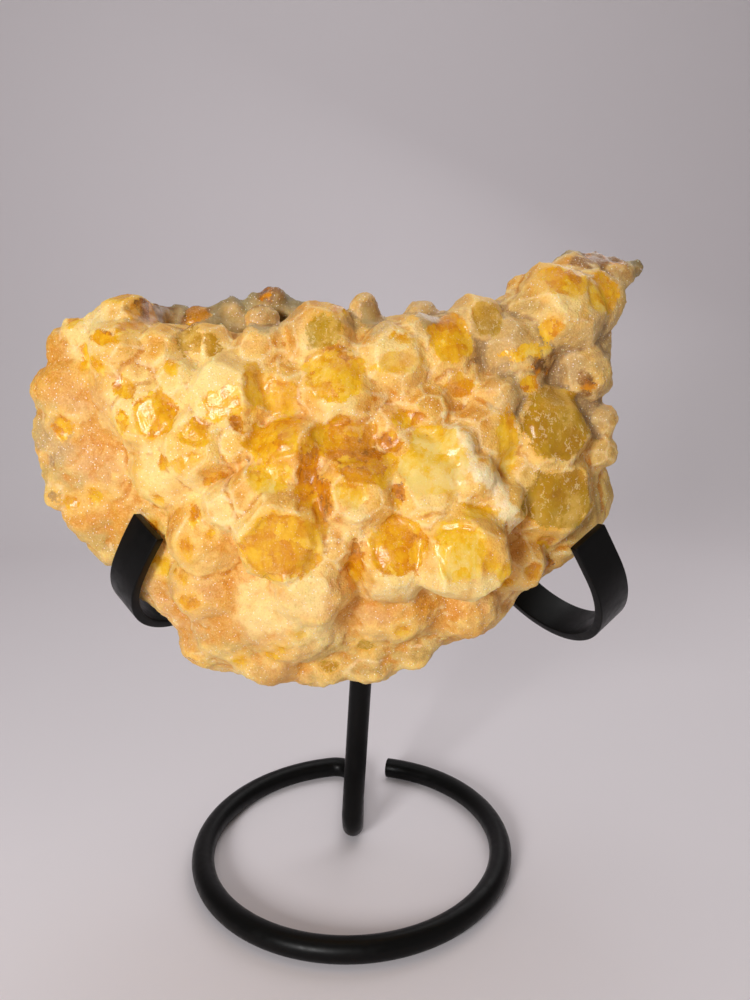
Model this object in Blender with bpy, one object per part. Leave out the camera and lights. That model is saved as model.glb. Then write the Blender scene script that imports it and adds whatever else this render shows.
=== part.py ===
# Lemon quartz cluster held on a black bent-steel display stand.
# Real size, metres, Z up, front towards -Y, origin on the table under the
# middle of the whole object. Dimensions below are in millimetres from the
# middle of the stand's ring; MM turns them into metres.
import math
import random

import bmesh
import bpy
from mathutils import Matrix, Vector

MM = 0.001

# ---- driving dimensions ----------------------------------------------------
ROD = 8.0                # round bar of the ring, foot and post
ROD_SIDES = 12
ROD_FLAT_TURN = 15.0     # degrees the section is turned so one flat lies on the table
RING_RADIUS = 55.0       # to the middle of the bar
RING_OPEN_END = 75.5     # degrees, free cut end of the ring, right of the post
RING_TURN_END = 102.0    # degrees, where the ring turns in to the middle
FOOT_BEND = 9.0          # bend radii of the bar at both ends of the straight run
POST_FOOT_Y = 4.0
POST_LEAN = 0.0694       # sideways drift per height, the post leans to the right
POST_TOP_Z = 184.0
POST_TOP_Y = 2.0

STRIP_W = 12.7           # half-inch flat bar
STRIP_T = 3.0
MITRE_X = 11.6           # upright plane where the two legs are mitred
MITRE_GAP = 0.3
LEG_TOP_Z = 194.0        # legs are trimmed level here

# where the whole object's middle sits from the ring's middle
SHIFT_X = 0.0
SHIFT_Y = 4.2

# each hook: top point of the leg, turn and tilt of the strip's width, then the
# leg, bend and finger of its side profile (angles in radians)
LEFT_HOOK = dict(side=-1, top=(10.0, -4.3, 187.5), turn=0.674, tilt=0.549, splay=-0.150,
                 leg=88.4, bend=25.05, bend_angle=2.929, finger=17.0, finger_curve=0.011)
RIGHT_HOOK = dict(side=1, top=(12.0, -4.2, 189.6), turn=0.535, tilt=0.505, splay=-0.219,
                  leg=82.7, bend=29.85, bend_angle=3.171, finger=12.0, finger_curve=0.002)

# ---- stone: outline of the slab at its widest, x and z ------------------------
RIM_Y = -25.0
SLAB_MIDDLE = (-5.0, 140.0)
RIM = [(-79, 196), (-75, 200), (-69, 201), (-62, 199), (-56, 195), (-50, 194), (-41, 192),
       (-30, 191), (-17, 194), (-6, 198), (3, 198), (13, 196), (21, 197), (30, 197), (38, 198),
       (47, 201), (55, 205), (64, 208), (76, 209), (85, 206), (86, 199), (82, 191), (82, 183),
       (80, 174), (79, 166), (80, 157), (80, 150), (82, 142), (82, 133), (78, 127), (69, 120),
       (62, 113), (54, 105), (47, 96), (38, 93), (29, 90), (17, 86), (4, 82), (-6, 80),
       (-17, 79), (-31, 80), (-43, 83), (-51, 88), (-56, 99), (-64, 108), (-74, 118),
       (-84, 126), (-90, 135), (-93, 142), (-95, 151), (-94, 160), (-95, 170), (-92, 180),
       (-88, 189)]

# ---- stone: quartz crystals ----------------------------------------------------
# tip x, y, z, radius over the corners, twist in degrees, tip flatness 0..1
CRYSTALS = [
    (-7, -42, 192, 12, 12, 0.60),     # rounded olive crystal at the top middle
    (0, -51, 176, 12.5, 0, 0.18),     # pointed crystal with a broad amber face
    (16, -45, 185, 12.5, 20, 0.55),
    (32, -42, 188, 12, 5, 0.25),      # tall amber blade
    (35, -40, 179, 12, 25, 0.40),
    (-34, -49, 175, 13.5, 15, 0.62),  # large bright crystal
    (-58, -45, 169, 13, 10, 0.55),
    (-43, -51, 160, 12.5, 28, 0.60),
    (-68, -39, 188, 11.5, 0, 0.50),
    (-54, -39, 187, 9.5, 20, 0.60),
    (-41, -37, 189, 8.5, 10, 0.35),
    (-24, -41, 187, 9.5, 8, 0.50),
    (-17, -46, 177, 9.5, 25, 0.30),
    (-15, -56, 158, 12, 5, 0.45),
    (3, -50, 162, 10, 18, 0.35),
    (15, -49, 164, 8.5, 3, 0.30),
    (5, -60, 148, 13.5, 22, 0.55),    # deep amber crystal in the middle
    (-18, -62, 135, 16, 14, 0.66),  # broad crystal with a thick pale wall
    (16, -60, 126, 13.5, 5, 0.35),
    (37, -64, 129, 15, 24, 0.74),     # flat six-sided crystal standing proud
    (25, -57, 149, 14, 8, 0.50),
    (34, -54, 160, 6.5, 10, 0.20),    # white ridge running down to the right
    (39, -57, 151, 7.5, 0, 0.20),
    (47, -56, 142, 8.5, 15, 0.25),
    (44, -48, 163, 11, 25, 0.60),
    (63, -44, 163, 15.5, 10, 0.62),   # two big olive crystals on the right edge
    (66, -44, 143, 15, 20, 0.62),
    (53, -41, 177, 7.5, 0, 0.50),
    (69, -37, 200, 15.5, 12, 0.55),     # horn at the top right
    (41, -37, 196, 9.5, 18, 0.50),
    (54, -40, 188, 11.5, 6, 0.55),
    (76, -36, 181, 9.5, 30, 0.25),
    (81, -32, 165, 5.5, 0, 0.50),
    (81, -33, 155, 5.5, 12, 0.50),
    (40, -43, 106, 11, 8, 0.62),      # pale lump under the proud crystal
    (56, -44, 121, 9, 22, 0.50),
    (-9, -58, 117, 13, 4, 0.62),
    (-3, -53, 156, 7, 9, 0.40),
    (-25, -58, 147, 9, 16, 0.60),
    (-33, -56, 143, 8, 27, 0.55),
    (-67, -31, 198, 8.5, 12, 0.50),
    (-82, -30, 193, 6.5, 0, 0.45),
    (-91, -32, 142, 5.5, 20, 0.30),
    (7, -31, 200, 5, 10, 0.35),       # small glassy crystals along the top edge
    (-61, -18, 198, 5, 0, 0.35),
    (-55, -14, 198, 4.5, 20, 0.35),
    (-46, -14, 197, 4.5, 10, 0.30),
    (25, -27, 197, 6, 5, 0.40),
    (83, -18, 208, 9, 16, 0.35),
    (25, -47, 170, 8.5, 14, 0.55),    # small crystals filling between the large ones
    (-30, -51, 161, 7.5, 21, 0.50),
    (-4, -44, 184, 6.5, 7, 0.45),
    (24, -42, 192, 7, 24, 0.50),
    (28, -57, 138, 7, 3, 0.45),
    (-2, -58, 132, 8, 17, 0.45),
    (47, -46, 174, 6.5, 11, 0.45),
    (53, -46, 150, 7.5, 26, 0.50),
    (-48, -44, 178, 7.5, 13, 0.55),
]

# ---- stone: rounded lumps, matrix and sugary crust -----------------------------
# middle x, y, z and half sizes x, y, z
LUMPS = [
    (-15, -35, 109, 21, 17, 18), (16, -34, 110, 17, 15, 14), (-71, -21, 149, 21, 13, 16),
    (-84, -22, 160, 13, 11, 14), (-81, -22, 174, 16, 13, 13), (-82, -22, 187, 9, 9, 9),
    (-34, -30, 101, 15, 14, 13), (-40, -34, 116, 14, 14, 14), (-45, -25, 93, 9, 11, 8),
    (-8, -27, 86, 12, 10, 7.5), (7, -27, 87, 11, 10, 7.5), (20, -28, 92, 9, 9, 7),
    (-50, -36, 151, 14, 12, 11), (-57, -29, 173, 19, 13, 17), (-40, -39, 133, 13, 13, 14), (-24, -29, 89, 13, 12, 8),
    (-72, -22, 128, 13, 9, 10), (-60, -22, 113, 10, 9, 9), (64, -22, 124, 11, 13, 8),
    (70, -16, 206, 14, 9, 9), (84, -14, 208, 9, 7, 7),
    (71, -12, 212, 6, 5, 4.5), (58, -18, 203, 10, 8, 6), (92, -12, 210, 4.5, 4, 4),
    (80, -10, 213, 5, 4.5, 4.5), (-36, -9, 197, 9, 8, 7), (-23, -8, 199, 11, 9, 8),
    (-12, -11, 196, 10, 8, 6.5), (55, -8, 112, 12, 9, 10), (70, -8, 128, 11, 9, 11),
    (-56, -8, 112, 12, 8, 10), (-72, -12, 132, 14, 8, 13), (-80, -14, 165, 12, 8, 16),
    (62, -14, 165, 17, 8, 20), (30, -15, 110, 15, 8, 13), (-25, -15, 130, 24, 7, 24),
    (22, -15, 150, 22, 6, 24), (-45, -14, 175, 20, 7, 16), (45, -15, 188, 18, 7, 12),
    (-10, -14, 95, 22, 7, 10), (77, -18, 140, 9, 11, 14), (-24, -22, 195, 6, 6, 5),
]

BROKEN_BACK_Y = -16.5    # lumps behind this are broken matrix with coarse faces
CLEARANCE = 0.5          # room left round each hook where the stone rests in it


# ---- scene reset ---------------------------------------------------------------
for old in list(bpy.data.objects):
    bpy.data.objects.remove(old, do_unlink=True)
random_size = random.Random(41)

parts = bpy.data.collections.new("lemon_quartz")
cutters = bpy.data.collections.new("cutters")
bpy.context.scene.collection.children.link(parts)
bpy.context.scene.collection.children.link(cutters)


def paint(name, colour, roughness, metallic):
    mat = bpy.data.materials.new(name)
    mat.use_nodes = True
    shader = mat.node_tree.nodes["Principled BSDF"]
    shader.inputs["Base Color"].default_value = (*colour, 1.0)
    shader.inputs["Roughness"].default_value = roughness
    shader.inputs["Metallic"].default_value = metallic
    return mat


def add_mesh(name, bm, mat, where=parts):
    mesh = bpy.data.meshes.new(name)
    bm.to_mesh(mesh)
    bm.free()
    ob = bpy.data.objects.new(name, mesh)
    ob.data.materials.append(mat)
    where.objects.link(ob)
    return ob


def mesh_of(ob, remove=True, weld=0.00001):
    """The object's evaluated mesh in world space, welded, as a bmesh."""
    bpy.context.view_layer.update()
    graph = bpy.context.evaluated_depsgraph_get()
    mesh = bpy.data.meshes.new_from_object(ob.evaluated_get(graph))
    bm = bmesh.new()
    bm.from_mesh(mesh)
    bm.transform(ob.matrix_world)
    if weld:
        bmesh.ops.remove_doubles(bm, verts=bm.verts, dist=weld)
    if remove:
        bpy.data.objects.remove(ob, do_unlink=True)
    return bm


# ---- base rod: ring, straight run and post bent from one round bar --------------
def bar_path():
    flat = ROD / 2 * math.cos(math.pi / ROD_SIDES)     # height of the bar lying on its flat
    points = []
    first, last = RING_OPEN_END, RING_TURN_END - 360.0
    steps = 60
    for i in range(steps + 1):
        a = math.radians(first + (last - first) * i / steps)
        points.append(Vector((RING_RADIUS * math.cos(a), RING_RADIUS * math.sin(a), flat)))
    # turn in from the ring to the straight run
    run_x = 0.0
    bend_mid = Vector((run_x - FOOT_BEND, RING_RADIUS - FOOT_BEND, flat))
    for i in range(1, 7):
        a = math.radians(90.0 - 90.0 * i / 6)
        points.append(bend_mid + FOOT_BEND * Vector((math.cos(a), math.sin(a), 0)))
    # foot bend, from the straight run up into the post
    up_mid = Vector((run_x, POST_FOOT_Y + FOOT_BEND, flat + FOOT_BEND))
    for i in range(0, 8):
        a = math.radians(90.0 * i / 7)
        points.append(up_mid + FOOT_BEND * Vector((0, -math.sin(a), -math.cos(a))))
    top = Vector((POST_LEAN * (POST_TOP_Z - flat - FOOT_BEND), POST_TOP_Y, POST_TOP_Z))
    for i in range(1, 5):
        points.append(points[-1].lerp(top, 1.0 / (5 - i)))
    return points


def bar_mesh():
    curve = bpy.data.curves.new("bar", "CURVE")
    curve.dimensions = "3D"
    curve.twist_mode = "MINIMUM"
    curve.bevel_depth = ROD / 2 * MM
    curve.bevel_resolution = ROD_SIDES // 2 - 2
    curve.use_fill_caps = True
    spline = curve.splines.new("POLY")
    path = bar_path()
    spline.points.add(len(path) - 1)
    for p, v in zip(spline.points, path):
        p.co = (v.x * MM, v.y * MM, v.z * MM, 1.0)
        p.tilt = math.radians(ROD_FLAT_TURN)
    ob = bpy.data.objects.new("bar", curve)
    parts.objects.link(ob)
    return mesh_of(ob)


black = paint("black paint", (0.012, 0.012, 0.013), 0.38, 0.0)
base_rod = add_mesh("base_rod", bar_mesh(), black)
for f in base_rod.data.polygons:
    f.use_smooth = len(f.vertices) == 4


# ---- hooks: flat bar bent in its thin direction ----------------------------------
def strip_profile(hook, grow):
    """Middle line of the strip from the leg's top to the finger's end, forward and up."""
    heading = -math.pi / 2 + hook["splay"]
    p = Vector((0.0, 0.0)) - 12.0 * Vector((math.cos(heading), math.sin(heading)))
    line = [(p.copy(), heading)]
    p = Vector((0.0, 0.0)) + hook["leg"] * Vector((math.cos(heading), math.sin(heading)))
    line.append((p.copy(), heading))
    pieces = 22
    turn = hook["bend_angle"] / pieces
    for _ in range(pieces):
        heading += turn / 2
        p = p + hook["bend"] * turn * Vector((math.cos(heading), math.sin(heading)))
        heading += turn / 2
        line.append((p.copy(), heading))
    pieces = 4
    for _ in range(pieces):
        turn = hook["finger_curve"] * hook["finger"] / pieces
        heading += turn / 2
        p = p + hook["finger"] / pieces * Vector((math.cos(heading), math.sin(heading)))
        heading += turn / 2
        line.append((p.copy(), heading))
    if grow:
        end, heading = line[-1]
        line.append((end + grow * Vector((math.cos(heading), math.sin(heading))), heading))
    half = STRIP_T / 2 + grow
    sides = [Vector((-math.sin(h), math.cos(h))) for _, h in line]
    outer = [p - s * half for (p, _), s in zip(line, sides)]
    inner = [p + s * half for (p, _), s in zip(line, sides)]
    return outer + inner[::-1]


def strip_mesh(hook, grow=0.0):
    curve = bpy.data.curves.new("strip", "CURVE")
    curve.dimensions = "2D"
    curve.fill_mode = "BOTH"
    curve.extrude = (STRIP_W / 2 + grow) * MM
    spline = curve.splines.new("POLY")
    outline = strip_profile(hook, grow)
    spline.points.add(len(outline) - 1)
    for p, v in zip(spline.points, outline):
        p.co = (v.x * MM, v.y * MM, 0.0, 1.0)
    spline.use_cyclic_u = True
    turn, tilt, side = hook["turn"], hook["tilt"], hook["side"]
    width = Vector((side * math.cos(tilt) * math.cos(turn), math.cos(tilt) * math.sin(turn),
                    math.sin(tilt)))
    front = Vector((0, -1, 0))
    front = (front - front.dot(width) * width).normalized()
    up = width.cross(front)
    if up.z < 0:
        up = -up
    across = front.cross(up)
    axes = Matrix((front, up, across)).transposed().to_4x4()
    ob = bpy.data.objects.new("strip", curve)
    ob.matrix_world = Matrix.Translation(Vector(hook["top"]) * MM) @ axes
    parts.objects.link(ob)
    return mesh_of(ob)


def trim(bm, point, away):
    """Cut off everything on the far side of a plane and close the cut."""
    cut = bmesh.ops.bisect_plane(bm, geom=bm.verts[:] + bm.edges[:] + bm.faces[:],
                                 plane_co=Vector(point) * MM, plane_no=Vector(away),
                                 clear_outer=True)
    rim = [g for g in cut["geom_cut"] if isinstance(g, bmesh.types.BMEdge)]
    bmesh.ops.edgenet_fill(bm, edges=rim)
    bmesh.ops.recalc_face_normals(bm, faces=bm.faces)


def hook_object(name, hook):
    bm = strip_mesh(hook)
    side = hook["side"]
    trim(bm, (MITRE_X + side * MITRE_GAP / 2, 0, 0), (-side, 0, 0))
    trim(bm, (0, 0, LEG_TOP_Z), (0, 0, 1))
    return add_mesh(name, bm, black)


left_hook = hook_object("left_hook", LEFT_HOOK)
right_hook = hook_object("right_hook", RIGHT_HOOK)


# ---- stone ------------------------------------------------------------------------
def slab():
    """Thick slab with a domed front and a flatter, uneven back."""
    bm = bmesh.new()
    cx, cz = SLAB_MIDDLE
    layers = [(0.40, "back"), (0.75, "back"), (0.93, "side"), (1.0, "rim"), (0.95, "lip"),
              (0.84, "front"), (0.66, "front"), (0.44, "front"), (0.22, "front")]
    rings = []
    for share, kind in layers:
        ring = []
        for x, z in RIM:
            px, pz = cx + (x - cx) * share, cz + (z - cz) * share
            dome = math.exp(-(((px - 3) / 60) ** 2 + ((pz - 140) / 50) ** 2))
            back = -12.5 + 0.06 * (190 - pz)
            y = {"back": back, "side": back - 3.0, "rim": RIM_Y, "lip": -30.0,
                 "front": -26.0 - 25.0 * dome}[kind]
            y += random_size.uniform(-0.8, 0.8)
            ring.append(bm.verts.new((px * MM, y * MM, pz * MM)))
        rings.append(ring)
    n = len(RIM)
    for a, b in zip(rings, rings[1:]):
        for i in range(n):
            bm.faces.new((a[i], a[(i + 1) % n], b[(i + 1) % n], b[i]))
    for ring, y in ((rings[0], -10.0), (rings[-1], -49.0)):
        tip = bm.verts.new((cx * MM, y * MM, cz * MM))
        for i in range(n):
            bm.faces.new((ring[i], ring[(i + 1) % n], tip))
    bmesh.ops.recalc_face_normals(bm, faces=bm.faces)
    return bm


def outward(x, z):
    """Direction a crystal at this place grows: out of the front, fanning to the edges."""
    return Vector((0.55 * (x + 5) / 90, -1.0, 0.42 * (z - 140) / 60)).normalized()


def crystal(x, y, z, radius, twist, flat):
    """Six-sided quartz crystal, blunt-tipped, its root deep in the slab."""
    bm = bmesh.new()
    axis = outward(x, z)
    side = axis.cross(Vector((0, 0, 1))).normalized()
    up = side.cross(axis)
    tip = Vector((x, y, z))
    corners = []
    for k in range(6):
        a = math.radians(twist + 60 * k) + random_size.uniform(-0.10, 0.10)
        corners.append((math.cos(a), math.sin(a), random_size.uniform(0.92, 1.07)))
    depth = min(26.0, max(8.0, -y - 15.0))
    levels = [(depth, 1.0), (0.58 * radius, 1.0), (0.20 * radius, 0.5 + 0.46 * flat), (0.0, flat)]
    rings = []
    for back, share in levels:
        ring = []
        for c, s, w in corners:
            v = tip - axis * back + (side * c + up * s) * radius * share * w
            ring.append(bm.verts.new(v * MM))
        rings.append(ring)
    for a, b in zip(rings, rings[1:]):
        for k in range(6):
            bm.faces.new((a[k], a[(k + 1) % 6], b[(k + 1) % 6], b[k]))
    bm.faces.new(rings[0])
    bm.faces.new(rings[-1])
    bmesh.ops.recalc_face_normals(bm, faces=bm.faces)
    return bm


def lump(x, y, z, rx, ry, rz):
    """Rounded growth of the crust, or a broken chunk of matrix on the back."""
    bm = bmesh.new()
    bmesh.ops.create_icosphere(bm, subdivisions=1 if y > BROKEN_BACK_Y else 2, radius=1.0)
    for v in bm.verts:
        w = random_size.uniform(0.93, 1.05)
        v.co = Vector(((x + v.co.x * rx * w) * MM, (y + v.co.y * ry * w) * MM,
                       (z + v.co.z * rz * w) * MM))
    return bm


def combine(body, others, operation):
    """Join the pieces into the body, or cut them out of it, all in one pass."""
    mod = body.modifiers.new("join", "BOOLEAN")
    mod.operation = operation
    mod.solver = "EXACT"
    mod.operand_type = "COLLECTION"
    mod.collection = cutters
    mod.use_self = operation == "UNION"
    bm = mesh_of(body, remove=False, weld=0)
    body.modifiers.clear()
    bm.to_mesh(body.data)
    bm.free()
    for other in others:
        bpy.data.objects.remove(other, do_unlink=True)


citrine = paint("lemon quartz", (0.80, 0.55, 0.20), 0.45, 0.0)
quartz = add_mesh("quartz_cluster", slab(), citrine)
grown = [add_mesh("lump", lump(*spec), citrine, cutters) for spec in LUMPS]
grown += [add_mesh("crystal", crystal(*spec), citrine, cutters) for spec in CRYSTALS]
combine(quartz, grown, "UNION")
rooms = [add_mesh("room", strip_mesh(hook, CLEARANCE), citrine, cutters)
         for hook in (LEFT_HOOK, RIGHT_HOOK)]
combine(quartz, rooms, "DIFFERENCE")

bm = bmesh.new()
bm.from_mesh(quartz.data)
bmesh.ops.remove_doubles(bm, verts=bm.verts, dist=0.0000005)
bmesh.ops.dissolve_degenerate(bm, edges=bm.edges, dist=0.0000005)
bmesh.ops.triangulate(bm, faces=bm.faces)
bm.to_mesh(quartz.data)
bm.free()

# ---- set the whole object over its own middle ---------------------------------------
for ob in parts.objects:
    ob.data.transform(Matrix.Translation((SHIFT_X * MM, SHIFT_Y * MM, 0)))
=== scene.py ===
import math

import bmesh
import bpy
import numpy as np
from mathutils import Matrix, Vector, noise
from mathutils.bvhtree import BVHTree
from mathutils.kdtree import KDTree


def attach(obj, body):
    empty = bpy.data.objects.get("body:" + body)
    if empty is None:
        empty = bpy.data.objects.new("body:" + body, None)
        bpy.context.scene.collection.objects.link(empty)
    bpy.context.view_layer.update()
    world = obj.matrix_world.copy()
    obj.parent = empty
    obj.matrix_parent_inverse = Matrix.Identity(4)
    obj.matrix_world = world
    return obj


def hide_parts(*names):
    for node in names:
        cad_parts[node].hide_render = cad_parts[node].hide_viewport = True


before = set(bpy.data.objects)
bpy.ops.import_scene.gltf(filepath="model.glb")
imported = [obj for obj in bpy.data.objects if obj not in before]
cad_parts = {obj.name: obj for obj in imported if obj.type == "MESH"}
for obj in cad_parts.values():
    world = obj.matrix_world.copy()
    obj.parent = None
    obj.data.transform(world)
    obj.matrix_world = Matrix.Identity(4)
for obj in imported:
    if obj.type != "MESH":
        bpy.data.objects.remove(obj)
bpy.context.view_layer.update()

# ---- camera ------------------------------------------------------------------------
# A hand-held view from in front, level with the top of the stone and a forearm's length
# away from it, looking slightly down.
view = bpy.data.cameras.new("camera")
view.lens = 28.8
view.sensor_width = 36.0
view.clip_start = 0.01
camera = bpy.data.objects.new("camera", view)
bpy.context.scene.collection.objects.link(camera)
camera.location = (0.0095, -0.26673, 0.18755)
look_down = Matrix.Rotation(math.radians(90 - 11.03), 3, "X")
hand_roll = Matrix.Rotation(math.radians(-0.45), 3, "Z")
camera.rotation_euler = (look_down @ hand_roll).to_euler()
bpy.context.scene.camera = camera
bpy.context.scene.view_settings.view_transform = "Standard"

# ---- base rod ------------------------------------------------------------------------
# One length of 8 mm round steel bar, cold bent: an open ring that lies on the table, a
# straight run back to the middle, and a post that leans a little to the right. It is
# sawn off square at both ends, deburred, and painted with the hooks.
MM = 0.001
BAR = 4.0 * MM                   # radius of the bar
RING = 55.0 * MM                 # ring radius, to the middle of the bar
BEND = 9.0 * MM                  # both tight bends, to the middle of the bar
RING_Y = 4.2 * MM                # the ring stands this far behind the middle of the part
RING_CENTRE = Vector((0, RING_Y, BAR))
FREE_END = math.radians(75.5)
TURN_IN = math.acos(-BEND / (RING - BEND))
POST_FOOT = Vector((0, 8.2 * MM, BAR + BEND))
POST_TOP = Vector((11.9 * MM, 6.2 * MM, 184 * MM))


def cap_and_ease(bm, offset):
    """Close every open end of a bar and take the burr off its edge."""
    open_edges = [e for e in bm.edges if e.is_boundary]
    caps = bmesh.ops.holes_fill(bm, edges=open_edges, sides=0)["faces"]
    rims = list(dict.fromkeys(e for f in caps for e in f.edges))
    bmesh.ops.bevel(bm, geom=rims, offset=offset, offset_type="OFFSET", segments=3,
                    profile=0.5, affect="EDGES", material=-1)
    bmesh.ops.recalc_face_normals(bm, faces=bm.faces)


def finished(name, bm, sharp_above=None):
    """A mesh object at the origin, shaded smooth, or sharp over edges above so many degrees."""
    mesh = bpy.data.meshes.new(name)
    bm.to_mesh(mesh)
    bm.free()
    mesh.polygons.foreach_set("use_smooth", [True] * len(mesh.polygons))
    if sharp_above:
        mesh.set_sharp_from_angle(angle=math.radians(sharp_above))
    piece = bpy.data.objects.new(name, mesh)
    bpy.context.scene.collection.objects.link(piece)
    return piece


def swung(bm, rim, centre, axis, angle, steps):
    """Bend a bar on from its open rim, round an axis; gives the rim that it ends with."""
    spun = bmesh.ops.spin(bm, geom=rim, cent=centre, axis=axis, dvec=(0, 0, 0),
                          angle=angle, steps=steps, use_merge=False)
    return [g for g in spun["geom_last"] if isinstance(g, bmesh.types.BMEdge)]


def drawn_out(bm, rim, vec, steps):
    """Run a bar straight on from its open rim; gives the rim that it ends with."""
    for _ in range(steps):
        run = bmesh.ops.extrude_edge_only(bm, edges=rim)["geom"]
        rim = [g for g in run if isinstance(g, bmesh.types.BMEdge) and g.is_boundary]
        verts = [g for g in run if isinstance(g, bmesh.types.BMVert)]
        bmesh.ops.translate(bm, verts=verts, vec=vec / steps)
    return rim


bar = bmesh.new()
radial = Vector((math.cos(FREE_END), math.sin(FREE_END), 0))
along = Vector((-radial.y, radial.x, 0))
section = Matrix((radial, Vector((0, 0, 1)), -along)).transposed().to_4x4()
section.translation = RING_CENTRE + radial * RING
bmesh.ops.create_circle(bar, cap_ends=False, segments=28, radius=BAR, matrix=section)
turn_centre = RING_CENTRE + Vector((-BEND, (RING - BEND) * math.sin(TURN_IN), 0))
foot_centre = Vector((0, POST_FOOT.y + BEND, BAR + BEND))
rim = swung(bar, bar.edges[:], RING_CENTRE, (0, 0, 1), -(FREE_END + math.tau - TURN_IN), 168)
rim = swung(bar, rim, turn_centre, (0, 0, 1), -TURN_IN, 20)
rim = drawn_out(bar, rim, Vector((0, foot_centre.y - turn_centre.y, 0)), 4)
rim = swung(bar, rim, foot_centre, (1, 0, 0), -math.pi / 2, 18)
rim = drawn_out(bar, rim, POST_TOP - POST_FOOT, 12)
bmesh.ops.remove_doubles(bar, verts=bar.verts, dist=0.00002)
cap_and_ease(bar, 0.5 * MM)
rod = finished("base_rod_round", bar, 50)
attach(rod, "root")
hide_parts("base_rod")

black = bpy.data.materials.new("black paint, semi-gloss")
black.use_nodes = True
nodes, links = black.node_tree.nodes, black.node_tree.links
paint = nodes["Principled BSDF"]
paint.inputs["Base Color"].default_value = (0.0022, 0.0020, 0.0019, 1)
paint.inputs["Specular IOR Level"].default_value = 0.14
place = nodes.new("ShaderNodeTexCoord")
mottle = nodes.new("ShaderNodeTexNoise")
mottle.inputs["Scale"].default_value = 420.0
mottle.inputs["Detail"].default_value = 4.0
links.new(place.outputs["Object"], mottle.inputs["Vector"])
spread = nodes.new("ShaderNodeMapRange")
spread.inputs["From Min"].default_value = 0.3
spread.inputs["From Max"].default_value = 0.7
spread.inputs["To Min"].default_value = 0.28
spread.inputs["To Max"].default_value = 0.46
links.new(mottle.outputs["Fac"], spread.inputs["Value"])
links.new(spread.outputs["Result"], paint.inputs["Roughness"])
peel = nodes.new("ShaderNodeBump")
peel.inputs["Strength"].default_value = 0.12
peel.inputs["Distance"].default_value = 0.0003
links.new(mottle.outputs["Fac"], peel.inputs["Height"])
links.new(peel.outputs["Normal"], paint.inputs["Normal"])
rod.data.materials.append(black)

# ---- hooks ---------------------------------------------------------------------------
# Two lengths of half-inch flat bar, bent in their thin direction: a leg welded to the post
# behind the stone, a round bend under it, and a short finger that holds it from the
# front. The legs are mitred where they meet. The corners of the bar are rolled round.
STRIP_WIDE = 12.7 * MM
STRIP_THICK = 3.0 * MM
STRIP_CORNER = 0.45 * MM         # radius of its four rolled corners
MITRE = 11.6 * MM                # x of the plane on which the two legs meet
MITRE_GAP = 0.3 * MM             # left between them there, and filled by the weld
LEG_TOP = 194.0 * MM             # the peak of the mitre is cut off level at this height
OVERRUN = 12.0 * MM              # each leg starts this far past the mitre, and is cut back
# side: -1 left, 1 right; top: where a leg's middle line meets the mitre, mm; turn, tilt:
# which way the width of the bar points; splay: slope of the leg; leg, finger: lengths, mm;
# bend: radius, mm; bend_angle; finger_curve: 1 / radius, 1/mm; all angles in radians
HOOKS = {
    "left_hook": dict(side=-1, top=(10.0, -0.1, 187.5), turn=0.674, tilt=0.549,
                      splay=-0.150, leg=88.4, bend=25.05, bend_angle=2.929,
                      finger=17.0, finger_curve=0.011),
    "right_hook": dict(side=1, top=(12.0, 0.0, 189.6), turn=0.535, tilt=0.505,
                       splay=-0.219, leg=82.7, bend=29.85, bend_angle=3.171,
                       finger=12.0, finger_curve=0.002),
}


def bent_strip(side, top, turn, tilt, splay, leg, bend, bend_angle, finger, finger_curve):
    """A flat bar bent lying on its edge, stood up in its place and cut to its mitre."""
    bm = bmesh.new()
    heading = -math.pi / 2 + splay
    ahead = Vector((math.cos(heading), math.sin(heading), 0))
    left = Vector((-ahead.y, ahead.x, 0))
    flat = Matrix((left, Vector((0, 0, 1)), ahead)).transposed().to_4x4()
    flat.translation = -ahead * OVERRUN
    bmesh.ops.create_grid(bm, x_segments=1, y_segments=1, size=0.5)
    bmesh.ops.scale(bm, verts=bm.verts, vec=(STRIP_THICK, STRIP_WIDE, 1))
    bmesh.ops.bevel(bm, geom=bm.verts[:], offset=STRIP_CORNER, offset_type="OFFSET",
                    segments=4, profile=0.5, affect="VERTICES", material=-1)
    bmesh.ops.transform(bm, matrix=flat, verts=bm.verts)
    bmesh.ops.delete(bm, geom=bm.faces[:], context="FACES_ONLY")
    rim = drawn_out(bm, bm.edges[:], ahead * (leg * MM + OVERRUN), 6)
    centre = ahead * leg * MM + left * bend * MM
    rim = swung(bm, rim, centre, (0, 0, 1), bend_angle, 56)
    out = Matrix.Rotation(bend_angle, 3, "Z") @ (-left)
    tip = centre + out * bend * MM
    swung(bm, rim, tip - out * MM / finger_curve, (0, 0, 1), finger_curve * finger, 8)
    bmesh.ops.remove_doubles(bm, verts=bm.verts, dist=0.00001)
    cap_and_ease(bm, 0.35 * MM)
    width = Vector((side * math.cos(tilt) * math.cos(turn),
                    math.cos(tilt) * math.sin(turn), math.sin(tilt)))
    front = Vector((0, -1, 0))
    front = (front - front.dot(width) * width).normalized()
    up = width.cross(front)
    if up.z < 0:
        up = -up
    stand = Matrix((front, up, front.cross(up))).transposed().to_4x4()
    stand.translation = Vector(top) * MM
    bmesh.ops.transform(bm, matrix=stand, verts=bm.verts)
    for point, away in (((MITRE + side * MITRE_GAP / 2, 0, 0), (-side, 0, 0)),
                        ((0, 0, LEG_TOP), (0, 0, 1))):
        cut = bmesh.ops.bisect_plane(bm, geom=bm.verts[:] + bm.edges[:] + bm.faces[:],
                                     plane_co=Vector(point), plane_no=Vector(away),
                                     clear_outer=True)
        rim = [g for g in cut["geom_cut"] if isinstance(g, bmesh.types.BMEdge)]
        bmesh.ops.holes_fill(bm, edges=rim, sides=0)
    bmesh.ops.recalc_face_normals(bm, faces=bm.faces)
    return bm


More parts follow.
